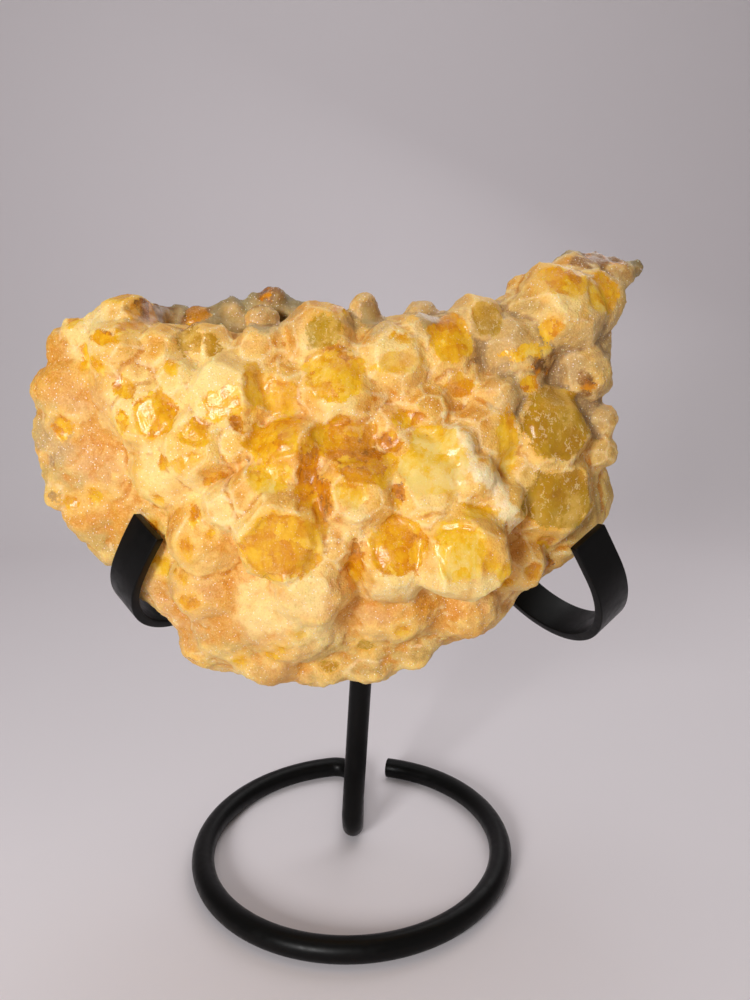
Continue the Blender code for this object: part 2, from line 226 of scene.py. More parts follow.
hook_pieces = []
for name, sizes in HOOKS.items():
    hook = finished(name + "_rolled", bent_strip(**sizes), 40)
    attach(hook, "root")
    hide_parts(name)
    hook.data.materials.append(black)
    hook_pieces.append(hook)

# ---- welds ---------------------------------------------------------------------------
# Short runs of weld behind the stone: one up the mitre between the two legs, and one down
# each side of the post where it meets them. They were laid by hand and painted over.
WELD_STEP = 1.1                  # mm from one ripple of a weld to the next
WELDS = ((11.6, 1.3, 185.5, 193.0, 1.3),       # x, y, foot, top, radius, all in mm
         (8.7, 2.3, 175.5, 183.0, 1.5),
         (15.1, 2.3, 175.5, 183.0, 1.5))
beads = bmesh.new()
for x, y, foot, top, size in WELDS:
    steps = int((top - foot) / WELD_STEP)
    for k in range(steps + 1):
        drop = bmesh.ops.create_uvsphere(beads, u_segments=12, v_segments=8, radius=size * MM)
        wobble = 0.16 * math.sin(2.7 * k + x)
        place = Vector((x + wobble, y, foot + k * (top - foot) / steps)) * MM
        bmesh.ops.scale(beads, verts=drop["verts"], vec=(1 + wobble, 0.8, 0.9))
        bmesh.ops.translate(beads, verts=drop["verts"], vec=place)
welds = finished("weld_beads", beads)
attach(welds, "root")
welds.data.materials.append(black)

# ---- stone ---------------------------------------------------------------------------
# One natural cluster of quartz: some sixty short crystals grown side by side on a slab of
# their own rock. Each is coated with a sugary crust of minute quartz, cream and thick along
# the edges, and worn through on the faces to glassy lemon and amber. The back is broken rock.
SKIN = 0.80 * MM                 # from one point of the skin to the next
COARSER = 0.73                   # the share of the faces that the hidden back keeps
CREST_ANGLE, FURROW_ANGLE = 34, -18            # degrees, out and in
ROCKS = 20                       # lumps of broken rock in a row behind the top edge
ROCK_ROW = (-61, -5.4, 188.6)    # the first one's middle, mm; the row runs to the right
ROCK_ROW_LONG = 55


def sharp_lines(bm):
    """Points along the crystals' sharp edges, and along the furrows between them."""
    crests, grooves = [], []
    for edge in bm.edges:
        if len(edge.link_faces) != 2:
            continue
        angle = math.degrees(edge.calc_face_angle_signed(0.0))
        line = crests if angle > CREST_ANGLE else grooves if angle < FURROW_ANGLE else None
        if line is not None:
            a, b = (v.co.copy() for v in edge.verts)
            steps = max(1, math.ceil((b - a).length / (0.5 * MM)))
            line.extend(a.lerp(b, k / steps) for k in range(steps + 1))
    return crests, grooves


body = bmesh.new()
body.from_mesh(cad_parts["quartz_cluster"].data)
bmesh.ops.remove_doubles(body, verts=body.verts, dist=0.000002)
crests, grooves = sharp_lines(body)
for k in range(ROCKS):
    rock_x, rock_y, rock_z = ROCK_ROW
    rock_x += ROCK_ROW_LONG * k / (ROCKS - 1)
    lump = bmesh.ops.create_icosphere(body, subdivisions=2, radius=MM)["verts"]
    bmesh.ops.scale(body, verts=lump, vec=(3.4, 4.2 + 0.5 * math.sin(2.3 * k),
                                           7.2 + 0.8 * math.sin(1.7 * k)))
    bmesh.ops.translate(body, verts=lump, vec=Vector((rock_x, rock_y, rock_z)) * MM)
stone = finished("lemon_quartz", body)
even = stone.modifiers.new("even skin", "REMESH")
even.mode = "VOXEL"
even.voxel_size = SKIN


def settled(piece):
    """The piece's mesh with its modifiers carried out."""
    bpy.context.view_layer.update()
    graph = bpy.context.evaluated_depsgraph_get()
    mesh = bpy.data.meshes.new_from_object(piece.evaluated_get(graph))
    piece.modifiers.clear()
    piece.data = mesh
    return mesh


skin = settled(stone)
hidden = stone.vertex_groups.new(name="hidden")
behind = {v.index for v in skin.vertices
          if v.co.y > -0.012 or (v.normal.y > 0.35 and v.co.y > -0.020)}
hidden.add(sorted(behind), 1.0, "REPLACE")
thin = stone.modifiers.new("coarser back", "DECIMATE")
thin.ratio = COARSER
thin.vertex_group = "hidden"
skin = settled(stone)
stone.vertex_groups.clear()
skin.name = "lemon_quartz"

count = len(skin.vertices)
points = np.empty(count * 3)
skin.vertices.foreach_get("co", points)
OFF_RING = np.array([0, RING_Y / MM, 0])
points = points.reshape(-1, 3) / MM - OFF_RING       # mm, with y from the ring's middle
ends = np.empty(len(skin.edges) * 2, dtype=np.int64)
skin.edges.foreach_get("vertices", ends)
ends = ends.reshape(-1, 2)
degree = np.bincount(ends.ravel(), minlength=count)


def beside(values):
    """The mean of what the neighbours of each point have."""
    values = values.reshape(count, -1)
    total = np.stack([np.bincount(ends[:, 0], values[ends[:, 1], k], count)
                      + np.bincount(ends[:, 1], values[ends[:, 0], k], count)
                      for k in range(values.shape[1])], axis=1)
    return (total / degree[:, None]).squeeze()


def relax(values, rounds):
    """Values, or places, drawn half way to those of their neighbours, so many times."""
    for _ in range(rounds):
        values = values + 0.5 * (beside(values) - values)
    return values


def outwards(points):
    """Put the skin's points at these places, and give their normals."""
    skin.vertices.foreach_set("co", ((points + OFF_RING) * MM).ravel())
    skin.update()
    n = np.empty(count * 3)
    skin.vertices.foreach_get("normal", n)
    return n.reshape(-1, 3)


def sunken(points, normal, rounds):
    """How far each point lies below the smoothed skin, in mm; less than 0 on a hump."""
    return ((relax(points, rounds) - points) * normal).sum(axis=1)


def eased(points, share, rounds):
    """The skin smoothed so many times, by each point's own share."""
    return points + share[:, None] * (relax(points, rounds) - points)


def raised(points, normal, height):
    """The skin built up by these heights in mm, but not where it rests on the steel."""
    return points + normal * (height * free)[:, None]


def rough(points, size, seed, octaves=3):
    """Smooth noise in -1..1 with lumps of the given size in mm."""
    shift = Vector((seed * 17.3, seed * 5.1, seed * 9.7))
    return np.array([noise.fractal(Vector(p) / size + shift, 0.7, 2.1, octaves)
                     for p in points])


noise.seed_set(7)                    # without this, noise vectors differ from run to run


def tips(points, size, seed, warp=0.25):
    """Small blunt pyramids standing side by side, about -0.5..0.5, size mm apart."""
    shift = Vector((seed * 7.1, seed * 3.7, seed * 11.3))
    high = np.empty(len(points))
    for k, p in enumerate(points):
        q = Vector((0.8 * p[0] + 0.6 * p[2], 0.9 * p[1] + 0.3 * p[0], 0.8 * p[2] - 0.6 * p[0]))
        q = q / size + shift
        q += warp * noise.noise_vector(q * 0.9)
        high[k] = 0.75 - noise.voronoi(q, distance_metric="MANHATTAN")[0][0]
    return np.clip(high, -0.6, 0.5)


def soft(values, low, high):
    """0 up to low, 1 from high, and a smooth rise between them."""
    t = np.clip((values - low) / (high - low), 0, 1)
    return t * t * (3 - 2 * t)


# how near the hooks are: the crust is thin there, where the stone rests on the steel
steel = []
for hook in hook_pieces:
    bm = bmesh.new()
    bm.from_mesh(hook.data)
    steel.append(BVHTree.FromBMesh(bm))
    bm.free()
near = np.array([min((tree.find_nearest(Vector(p), 0.006)[3] or 0.006) for tree in steel)
                 for p in (points + OFF_RING) * MM]) / MM
free = soft(near, 0.6, 3.5)

points = relax(points, 3)
# lumps thinner than a pencil are blunt
knobs = soft(-sunken(points, outwards(points), 15), 0.7, 1.8)
points = eased(points, 0.8 * relax(knobs, 4), 14)
# the crust has flooded the furrows on the left flank and along the bottom, so the crystals
# there are only soft swellings; elsewhere they stand clear of each other
flooded = np.maximum.reduce([soft(-points[:, 0], 58, 74), soft(-points[:, 2], -128, -112),
                             0.35 * soft(-points[:, 0], 20, 45), np.full(count, 0.20)])
flooded *= soft(-points[:, 1], 14, 22)
points = eased(points, flooded, 42)


def distance_to(line):
    """How far each point of the skin is from these lines, in mm."""
    tree = KDTree(len(line))
    for k, place in enumerate(line):
        tree.insert(place, k)
    tree.balance()
    return np.array([tree.find(Vector(p))[2] for p in (points + OFF_RING) * MM]) / MM


crest = distance_to(crests)
groove = distance_to(grooves)
# sugar has filled the furrows between the crystals and left their edges sharp
for rounds, share in ((36, 0.60), (10, 0.35)):
    normal = outwards(points)
    filling = np.clip(sunken(points, normal, rounds), 0, 3.5)
    points = raised(points, normal, share * relax(filling, 2))
points = relax(points, 1)
normal = outwards(points)
# the crust swells a little between the furrows and draws in along them
swell = (rough(points, 11.0, 1) * 0.5 + rough(points, 4.0, 2) * 0.35
         - 0.40 * np.exp(-(groove / 0.8) ** 2))
# where the furrows are flooded the sugar stands in small blunt tips of its own
tall_tips = tips(points, 9.5, 3) * (0.10 + 1.3 * flooded)
small_tips = tips(points, 3.6, 4) * (0.10 + 0.28 * flooded)
points = raised(points, normal, swell + tall_tips + small_tips)

# glassy faces where the crust is thin or worn through: middle x, z; half width and height;
# lean in degrees; corners; tone from 0 lemon to 1 brown; tint; how far it is sunk
FACES = [
    # along the top, from the left
    (-79.5, 195, 2.2, 2.0, 0, 6, 0.42, "", 0.2), (-65.5, 202, 3.6, 1.9, 0, 6, 0.34, "", 0.2),
    (-58, 197.5, 3.9, 4.0, 0, 6, 0.74, "", 0.2), (-55, 198, 2.8, 3.6, 0, 6, 0.90, "grey", 0.2),
    (-46, 197, 4.0, 2.8, 0, 6, 0.76, "", 0.2), (-24, 203, 2.2, 3.0, 0, 6, 0.86, "", 0.2),
    (-4.5, 190.5, 5.2, 5.2, 0, 5, 0.26, "olive", 0.4), (-0.5, 197.5, 2.2, 1.8, 0, 5, 0.52, "", 0.2),
    (17.5, 189, 2.7, 1.6, 0, 6, 0.36, "", 0.2), (16, 182.7, 6.2, 3.2, 8, 6, 0.42, "", 0.5),
    (31, 189, 6.4, 7.2, 24, 4, 0.42, "", 0.5), (34, 175.5, 4.4, 3.4, 10, 5, 0.48, "", 0.3),
    (41.5, 194, 4.0, 4.8, 0, 6, 0.36, "olive", 0.4), (59.5, 191.5, 3.4, 3.4, 0, 6, 0.46, "", 0.4),
    (53, 185, 6.0, 2.0, 8, 6, 0.36, "", 0.2), (64.5, 204.5, 6.6, 4.6, -12, 5, 0.40, "", 0.4),
    (76, 202, 5.4, 6.4, -10, 5, 0.40, "", 0.5), (81, 213.7, 5.8, 3.0, 0, 6, 1.0, "", 0.3),
    (57.5, 181, 2.8, 1.9, 0, 6, 0.86, "", 0.3), (72, 175.5, 1.9, 1.9, 0, 6, 0.84, "", 0.3),
    (53.5, 176, 3.3, 1.8, 0, 6, 0.50, "", 0.3),
    (8.5, 196.5, 4.4, 3.4, 0, 5, 0.34, "grey", 0.2), (25.5, 195, 4.0, 2.4, 0, 6, 0.50, "grey", 0.2),
    (-22.4, 193.5, 3.2, 2.8, 0, 6, 0.36, "grey", 0.2),
    # upper left
    (-68, 189.5, 4.6, 2.3, -14, 6, 0.52, "", 0.4), (-76, 185, 1.5, 3.6, 8, 6, 0.44, "", 0.3),
    (-61, 193, 3.6, 1.7, 0, 6, 0.44, "", 0.3), (-69, 182, 2.5, 1.7, -20, 6, 0.42, "", 0.3),
    (-43.3, 189, 3.6, 4.0, 0, 5, 0.68, "olive", 0.5), (-37, 187.5, 3.0, 2.8, 0, 5, 0.66, "olive", 0.5),
    (-61.5, 176, 4.4, 2.8, -20, 6, 0.42, "", 0.3), (-52.5, 168.5, 5.9, 6.8, -12, 5, 0.45, "", 0.8),
    (-62, 166, 2.6, 3.2, 0, 6, 0.36, "", 0.3), (-32, 172.0, 6.6, 4.8, 18, 4, 0.28, "", 0.3),
    (-47.5, 181.5, 2.3, 2.0, 0, 6, 0.44, "", 0.3), (-23.5, 175.5, 2.7, 7.0, 10, 6, 0.50, "", 0.4),
    (-28.5, 166, 1.6, 3.3, 15, 6, 0.54, "", 0.3), (-17, 173, 4.9, 5.2, 0, 6, 0.50, "", 0.5),
    (-40.3, 163.6, 4.8, 3.6, 18, 5, 0.40, "", 0.6), (-49.8, 155, 1.7, 2.1, 0, 6, 0.44, "", 0.3),
    (-45, 154.6, 2.1, 1.9, 0, 6, 0.44, "", 0.3), (-41, 157.3, 2.7, 1.9, 0, 6, 0.42, "", 0.3),
    (-36, 150.5, 3.0, 3.1, 0, 6, 0.54, "", 0.4), (-84, 164, 3.0, 3.3, 0, 6, 0.50, "", 0.4),
    (-75.5, 142.5, 2.4, 2.4, 0, 6, 0.44, "", 0.3), (-83, 140.5, 1.7, 1.7, 0, 6, 0.44, "", 0.3),
    (-53.5, 144, 1.5, 1.8, 0, 6, 0.42, "", 0.2), (-88.5, 143, 1.8, 1.8, 0, 6, 0.86, "grey", 0.2),
    # the heart of the cluster
    (-1.3, 179.6, 8.6, 7.4, 0, 5, 0.47, "", 0.6), (-18.3, 162.2, 7.6, 6.0, 22, 5, 0.54, "", 0.8),
    (-18.8, 152.8, 5.8, 4.6, 0, 5, 0.34, "", 0.4), (1.3, 162.3, 8.6, 6.0, 0, 5, 0.55, "", 0.8),
    (-8.6, 150, 3.4, 6.0, 0, 6, 0.64, "", 0.3), (-8.4, 158, 3.0, 5.0, 10, 6, 0.62, "", 0.3),
    (-4.5, 144, 2.3, 8.2, -4, 6, 0.64, "", 0.3),
    (19.5, 167, 4.4, 2.8, 0, 6, 0.52, "", 0.3), (14, 161, 3.0, 3.0, 0, 6, 0.62, "", 0.3),
    (7.3, 155.3, 8.6, 5.4, -6, 5, 0.54, "", 0.9), (3.0, 148.2, 4.8, 3.4, -20, 5, 0.22, "", 0.4),
    (16, 147, 1.7, 3.6, 0, 6, 0.60, "", 0.3), (26, 155.5, 9.2, 9.0, 0, 6, 0.05, "", 0.3),
    (30.3, 149.5, 2.2, 3.8, -18, 6, 0.34, "", 0.3), (47, 160, 3.2, 9.5, 4, 6, 0.30, "", 0.4),
    (-16, 133.6, 11.8, 9.8, 14, 5, 0.44, "", 1.3), (3.6, 127, 2.4, 8.6, -6, 6, 0.62, "", 0.3),
    (15.6, 132.6, 7.8, 8.0, 0, 5, 0.46, "", 1.0), (32.5, 132.6, 7.2, 7.6, 6, 6, 0.26, "", 0.9),
    (40.3, 130, 2.6, 3.8, 30, 4, 0.42, "", 0.5), (45, 126.5, 1.7, 2.6, 0, 6, 0.40, "", 0.3),
    (38, 142.6, 5.0, 1.7, 0, 6, 0.34, "", 0.3),
    # right edge
    (61.8, 165, 10.6, 9.6, 0, 6, 0.46, "olive", 0.8), (63.3, 142.6, 11.6, 8.6, 0, 6, 0.47, "olive", 0.8),
    (60.3, 129.5, 3.4, 2.8, 0, 6, 0.50, "", 0.4), (55.4, 121.5, 2.0, 3.4, 0, 6, 0.50, "", 0.3),
    (62, 118.5, 3.4, 4.4, 0, 6, 0.74, "", 0.3), (48, 117, 2.2, 1.6, 0, 6, 0.44, "", 0.3),
    # worn spots low down and on the left
    (-41.5, 140.5, 1.6, 2.9, 0, 6, 0.56, "", 0.3), (-37, 136, 1.7, 1.7, 0, 6, 0.56, "", 0.3),
    (-44.5, 130.7, 2.0, 3.8, 0, 6, 0.58, "", 0.4), (-47.6, 121, 2.5, 2.1, 0, 6, 0.56, "", 0.4),
    (-45.6, 113.4, 3.0, 2.7, 0, 6, 0.56, "", 0.4), (-57, 134, 1.8, 1.8, 0, 6, 0.54, "", 0.3),
    (-55.6, 122, 3.2, 3.2, 0, 6, 0.46, "", 0.4), (-49, 89.5, 1.8, 1.6, 0, 6, 0.50, "", 0.3),
    (-22.5, 95.5, 1.8, 1.5, 0, 6, 0.52, "", 0.3), (-18.5, 99, 1.6, 1.5, 0, 6, 0.52, "", 0.3),
    (-32, 92.5, 1.5, 1.2, 0, 6, 0.44, "", 0.2), (-12, 105, 1.5, 1.2, 0, 6, 0.44, "", 0.2),
    (6, 96, 2.5, 2.5, 0, 6, 0.46, "olive", 0.3), (-5, 89, 2.5, 1.8, 0, 6, 0.44, "olive", 0.3),
    (-11, 125, 1.2, 2.1, 0, 6, 0.44, "", 0.2), (17, 104.5, 2.2, 2.0, 0, 6, 0.46, "", 0.3),
]
normal = outwards(points)
broad = outwards(relax(points, 12))
glassy = np.full(count, -6.0)        # mm inside the edge of the nearest glassy face
tone = np.full(count, 0.40)
olive, grey, sink, shade = np.zeros((4, count))
wander = np.stack([rough(points, 5.0, 11 + k, 2) for k in range(2)], axis=1)
level = np.zeros((count, 3))         # the way that grinds a face flat
held = np.zeros(count)
for number, (x, z, wide, tall, lean, corners, hue, tint, deep) in enumerate(FACES):
    if min(wide, tall) > 3.4:
        wide, tall = 1.10 * wide, 1.10 * tall
    there = np.hypot(points[:, 0] - x, points[:, 2] - z)
    close = np.where(there < 1.6)[0]
    if not len(close):
        close = np.argsort(there)[:6]
    middle = points[close[np.argmin(points[close, 1])]]
    around = np.where(np.linalg.norm(points - middle, axis=1) < 0.7 * max(wide, tall))[0]
    axis = Vector(broad[around].mean(axis=0)).normalized()
    part = np.where((there < 1.3 * max(wide, tall) + 5.0)
                    & (np.abs(points[:, 1] - middle[1]) < 5.0 + 0.6 * max(wide, tall)))[0]

    # how far inside the face's crooked, many-cornered edge each point is
    turn = math.radians(lean)
    dx = points[part, 0] - x + wander[part, 0]
    dz = points[part, 2] - z + wander[part, 1]
    u = (dx * math.cos(turn) + dz * math.sin(turn)) / wide
    v = (dz * math.cos(turn) - dx * math.sin(turn)) / tall
    sides = [math.radians(-90 + 360 * k / corners) for k in range(corners)]
    far = np.max([u * math.cos(a) + v * math.sin(a) for a in sides], axis=0)
    far = 0.75 * far / math.cos(math.pi / corners) + 0.25 * np.hypot(u, v)
    facing = soft(normal[part] @ np.array(axis), -0.05, 0.30)
    inside = (1 - far) * min(wide, tall) - 2.5 * (1 - facing)

    core = part[inside > 0.4]
    if len(core) > 8:                # the face is ground flat, as a crystal's face is
        flat_way = normal[core].mean(axis=0)
        flat_way /= np.linalg.norm(flat_way)
        height = (points[part] - points[core].mean(axis=0)) @ flat_way
        share = soft(inside, -1.4, 0.5) * 0.40
        firm = share > held[part]
        level[part[firm]] = -flat_way * (np.clip(height, -3, 3) * share)[firm][:, None]
        held[part[firm]] = share[firm]

    # where faces meet, the one that reaches further in wins
    take = inside > glassy[part]
    won = part[take]
    glassy[won] = inside[take]
    tone[won] = hue + 0.10 * np.clip(v[take], -1, 1)
    olive[won] = float(tint == "olive")
    grey[won] = float(tint == "grey")
    slopes = [(u - 0.15) * math.cos(number + k * 1.9) + (v - 0.1) * math.sin(number + k * 1.9)
              for k in range(4)]
    shade[won] = ((np.argmax(slopes, axis=0)[take] * 7 + number * 3) % 5) / 4.0
    dip = soft(inside, -0.5, 1.0) - 0.5 * np.clip(0.6 - np.max(slopes, axis=0), 0, 1)
    sink[won] = deep * dip[take] * soft(inside[take], -0.8, 0.8)
lip = np.exp(-((glassy + 1.6) / 1.3) ** 2)
points = points + relax(level, 1) * free[:, None]
points = eased(points, soft(glassy, 0.0, 1.2), 5)
normal = outwards(points)
points = raised(points, normal, 0.12 * lip - relax(sink, 1))
# the broken rock of the back is chipped, and the whole skin has a fine grain
chips = soft(points[:, 1], -22, -14)
points = eased(points, chips, 5)
points = raised(points, normal, (tips(points, 15.0, 8) * 3.0 + tips(points, 5.0, 9) * 1.2) * chips)
grain = rough(points, 1.5, 5, 2)
points = raised(points, normal, grain * (0.13 - 0.08 * soft(glassy, -0.2, 0.4)))

# marks on the skin, which the colours below are laid on by
normal = outwards(points)
up = outwards(relax(points, 5))[:, 2]
outwards(points)
x, y, z = points.T
marks = {"glassy": glassy, "tone": tone, "olive": olive, "grey": grey, "shade": shade,
         "lip": lip, "crest": crest, "groove": groove, "flooded": flooded}
marks["hollow"] = np.clip(0.30 * sunken(points, normal, 30) + 0.30 * sunken(points, normal, 60),
                          -1.5, 2.0)
# pale on the undersides: painted light
marks["under"] = soft(-up + 0.25 * wander[:, 0], 0.02, 0.45)
marks["over"] = soft(up + 0.25 * wander[:, 1], 0.15, 0.70)
marks["rock"] = soft(y + 0.8 * rough(points, 7, 21), -20.0, -12.0)

# a crooked white ridge: the line that it follows down the front (x, z), and its half widths
WHITE_LINE = ((31, 167), (36, 155), (42, 151), (46, 142), (50, 136))
WHITE_HALF = (3.0, 3.4, 3.6, 2.8)
white = np.zeros(count)
ragged = 2.2 * rough(points, 3.6, 31)
for (ax, az), (bx, bz), half in zip(WHITE_LINE, WHITE_LINE[1:], WHITE_HALF):
    span = np.array([bx - ax, bz - az], float)
    t = np.clip(((x - ax) * span[0] + (z - az) * span[1]) / (span @ span), 0, 1)
    off = np.hypot(x - ax - t * span[0], z - az - t * span[1])
    white = np.maximum(white, soft(half - 0.8 - off + ragged, -0.3, 0.9) * (y < -45))
marks["white"] = white

# where the crust has a colour of its own: places on the front (x, z) and their reach, in mm
ZONES = {
    "rosy": ((-75, 160, 24), (-10, 106, 34), (-55, 112, 26), (52, 118, 20), (44, 172, 9),
             (28, 198, 12), (-30, 190, 10)),
    "green": ((0, 88, 18), (22, 92, 16), (-35, 92, 14), (-92, 165, 12), (-90, 146, 13),
              (72, 150, 30), (76, 180, 18), (-78, 125, 12), (50, 190, 20), (85, 208, 14)),
    "heart": ((-12, 158, 16), (4, 158, 20), (12, 166, 12), (0, 140, 12), (-20, 160, 10)),
    "sunny": ((-38, 172, 26), (25, 152, 16), (-55, 160, 22), (-18, 135, 18), (5, 160, 24)),
    "dusky": ((46, 188, 15), (62, 180, 16), (28, 198, 12), (10, 198, 11), (-20, 197, 11),
              (78, 190, 15), (82, 207, 10), (74, 168, 12), (50, 172, 9), (-88, 160, 9)),
    "umber": ((81, 214, 8), (-57, 198.5, 5), (-45, 197.5, 5), (-24, 203, 5), (57.5, 181, 4),
              (72, 175.5, 3), (73, 212, 5)),
    "cream": ((-39, 148, 10), (-31, 139, 8), (-10, 121, 11), (3.5, 141, 7), (16, 122, 9),
              (27, 122, 9), (39, 119, 9), (-0.5, 170, 8), (27, 152, 11), (-52, 153, 11),
              (-39, 176, 16), (65, 201, 11), (-8, 105, 9), (-24, 114, 12), (-74, 193, 12),
              (-60, 172, 9), (14, 186, 9), (-7, 186, 8)),
}
for name, spots in ZONES.items():
    marks[name] = np.zeros(count)
    for sx, sz, reach in spots:
        off = np.hypot(x - sx, z - sz) + 5.0 * wander[:, 0]
        marks[name] = np.maximum(marks[name], soft(reach - off, 0.0, 0.6 * reach))
for name, values in marks.items():
    skin.attributes.new(name, "FLOAT", "POINT").data.foreach_set("value", values)
skin.polygons.foreach_set("use_smooth", [True] * len(skin.polygons))
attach(stone, "root")
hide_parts("quartz_cluster")

quartz = bpy.data.materials.new("lemon quartz, sugary")
quartz.use_nodes = True
nodes, links = quartz.node_tree.nodes, quartz.node_tree.links
shader = nodes["Principled BSDF"]
where = nodes.new("ShaderNodeTexCoord").outputs["Object"]


def attribute(name):
    """One of the marks on the stone's points."""
    node = nodes.new("ShaderNodeAttribute")
    node.attribute_name = name
    return node.outputs["Fac"]


def noise_of(size_mm, detail=3.0, roughness=0.5, at=where):
    """Cloudy noise with patches of this size."""
    node = nodes.new("ShaderNodeTexNoise")
    node.inputs["Scale"].default_value = 1000.0 / size_mm
    node.inputs["Detail"].default_value = detail
    node.inputs["Roughness"].default_value = roughness
    links.new(at, node.inputs["Vector"])
    return node.outputs["Fac"]


def grains_of(size_mm, at=where):
    """Cells of this size: the distance from each one's middle, and a number for each."""
    node = nodes.new("ShaderNodeTexVoronoi")
    node.inputs["Scale"].default_value = 1000.0 / size_mm
    links.new(at, node.inputs["Vector"])
    number = nodes.new("ShaderNodeSeparateColor")
    links.new(node.outputs["Color"], number.inputs["Color"])
    return node.outputs["Distance"], number.outputs[0]


def fill(socket, value):
    """Give a socket a number, a colour, or what another node puts out."""
    if isinstance(value, tuple):
        socket.default_value = (*value, 1.0)
    elif isinstance(value, (int, float)):
        socket.default_value = value
    else:
        links.new(value, socket)


def worked(operation, a, b=0.0):
    node = nodes.new("ShaderNodeMath")
    node.operation = operation
    fill(node.inputs[0], a)
    fill(node.inputs[1], b)
    return node.outputs[0]


def times(a, b):
    return worked("MULTIPLY", a, b)


def plus(a, b):
    return worked("ADD", a, b)


def amount(name, share):
    """So much of one of the stone's marks."""
    return times(attribute(name), share)


def stretch(value, low, high, to_low=0.0, to_high=1.0):
    """A value's range eased out to another one."""
    node = nodes.new("ShaderNodeMapRange")
    node.interpolation_type = "SMOOTHSTEP"
    for name, number in (("From Min", low), ("From Max", high), ("To Min", to_low),
                         ("To Max", to_high)):
        node.inputs[name].default_value = number
    links.new(value, node.inputs["Value"])
    return node.outputs["Result"]


def blend(share, a, b):
    """Colour a with a share of colour b laid over it."""
    node = nodes.new("ShaderNodeMix")
    node.data_type = "RGBA"
    fill(node.inputs[0], share)
    fill(node.inputs[6], a)
    fill(node.inputs[7], b)
    return node.outputs[2]


def colours(value, stops):
    """A ramp of colours along a value."""
    node = nodes.new("ShaderNodeValToRGB")
    ramp = node.color_ramp
    while len(ramp.elements) < len(stops):
        ramp.elements.new(0.5)
    for element, (place, colour) in zip(ramp.elements, stops):
        element.position = place
        element.color = (*colour, 1.0)
    links.new(value, node.inputs["Fac"])
    return node.outputs["Color"]


veil = noise_of(3.2, 5.0, 0.6)
fleck = noise_of(0.55, 2.0, 0.6)
cloud = noise_of(16.0, 3.0, 0.5)
patch = stretch(noise_of(24.0, 2.0, 0.5), 0.42, 0.58, 0.25, 1.0)
depth_in = plus(attribute("hollow"), times(veil, 0.3))
# pale on what stands proud, a painted highlight; amber in the hollows, painted shade
proud_highlight = stretch(depth_in, 0.02, -0.36, 0.0, 0.75)
hollow_shade = stretch(depth_in, 0.10, 0.42, 0.0, 0.85)
thin_crust = stretch(plus(attribute("glassy"), stretch(veil, 0.2, 0.8, -1.4, 1.4)),
                     -4.5, -0.2, 0.0, 0.72)
rim_place = plus(attribute("groove"), stretch(veil, 0.25, 0.75, -0.6, 0.6))
rim = times(stretch(rim_place, 0.5, 1.3), stretch(rim_place, 3.4, 1.8))
# painted shade in the hollows of the heart
heart_crease_shade = times(attribute("heart"), stretch(attribute("hollow"), -0.30, -0.02))
clear_cut = stretch(attribute("flooded"), 0.25, 0.75, 1.0, 0.15)

# the crust: honey and cream, in coats laid over one another
crust = colours(cloud, [(0.30, (0.63, 0.248, 0.014)), (0.50, (0.74, 0.318, 0.022)),
                        (0.70, (0.64, 0.262, 0.019))])
for share, colour in (
        (amount("sunny", 0.75), (0.95, 0.62, 0.11)),
        (amount("rosy", 0.70), (0.75, 0.43, 0.165)),
        (amount("green", 0.70), (0.50, 0.36, 0.11)),
        # golden where it looks up; pale where it looks down, which is painted light on the undersides
        (amount("over", 0.55), (0.74, 0.32, 0.025)),
        (amount("under", times(patch, 0.65)), (0.96, 0.66, 0.22)),
        # pale where it stands proud, a painted highlight; amber in the hollows, painted shade; and amber
        # where it is thin
        (times(proud_highlight, patch), (0.95, 0.63, 0.18)),
        (hollow_shade, (0.68, 0.26, 0.012)),
        (thin_crust, (0.86, 0.43, 0.02)),
        # deep amber at the heart, and painted shade along its seams, the hollows between its crystals
        (amount("heart", stretch(veil, 0.35, 0.65)), (0.78, 0.30, 0.008)),
        (times(heart_crease_shade, 0.9), (0.68, 0.22, 0.003)),
        (amount("cream", stretch(veil, 0.25, 0.55, 0.5, 0.85)), (0.97, 0.71, 0.28)),
        # a pale rim round each crystal, a dark line of painted shade in the furrow, pale worn edges
        (times(rim, times(clear_cut, 0.48)), (0.97, 0.68, 0.22)),
        # the dark furrow line is painted shade
        (times(stretch(rim_place, 1.1, 0.2, 0.0, 0.85), clear_cut), (0.62, 0.23, 0.010)),
        (amount("lip", 0.30), (0.97, 0.70, 0.26)),
        (stretch(attribute("crest"), 0.9, 0.3, 0.0, 0.50), (0.97, 0.76, 0.42)),
        # greyer and browner near the broken rock, and browner still in its hollows, which is painted
        # shade
        (amount("dusky", 0.62), (0.54, 0.35, 0.15)),
        (amount("dusky", hollow_shade), (0.34, 0.20, 0.09)),
        (amount("umber", stretch(veil, 0.25, 0.50)), (0.30, 0.115, 0.012)),
        # light and dark grains of sugar, and the white ridge over all
        (stretch(fleck, 0.48, 0.70, 0.0, 0.34), (0.97, 0.70, 0.30)),
        (stretch(fleck, 0.46, 0.30, 0.0, 0.34), (0.60, 0.27, 0.04)),
        (amount("white", stretch(veil, 0.30, 0.55, 0.45, 0.95)), (0.96, 0.76, 0.44))):
    crust = blend(share, crust, colour)

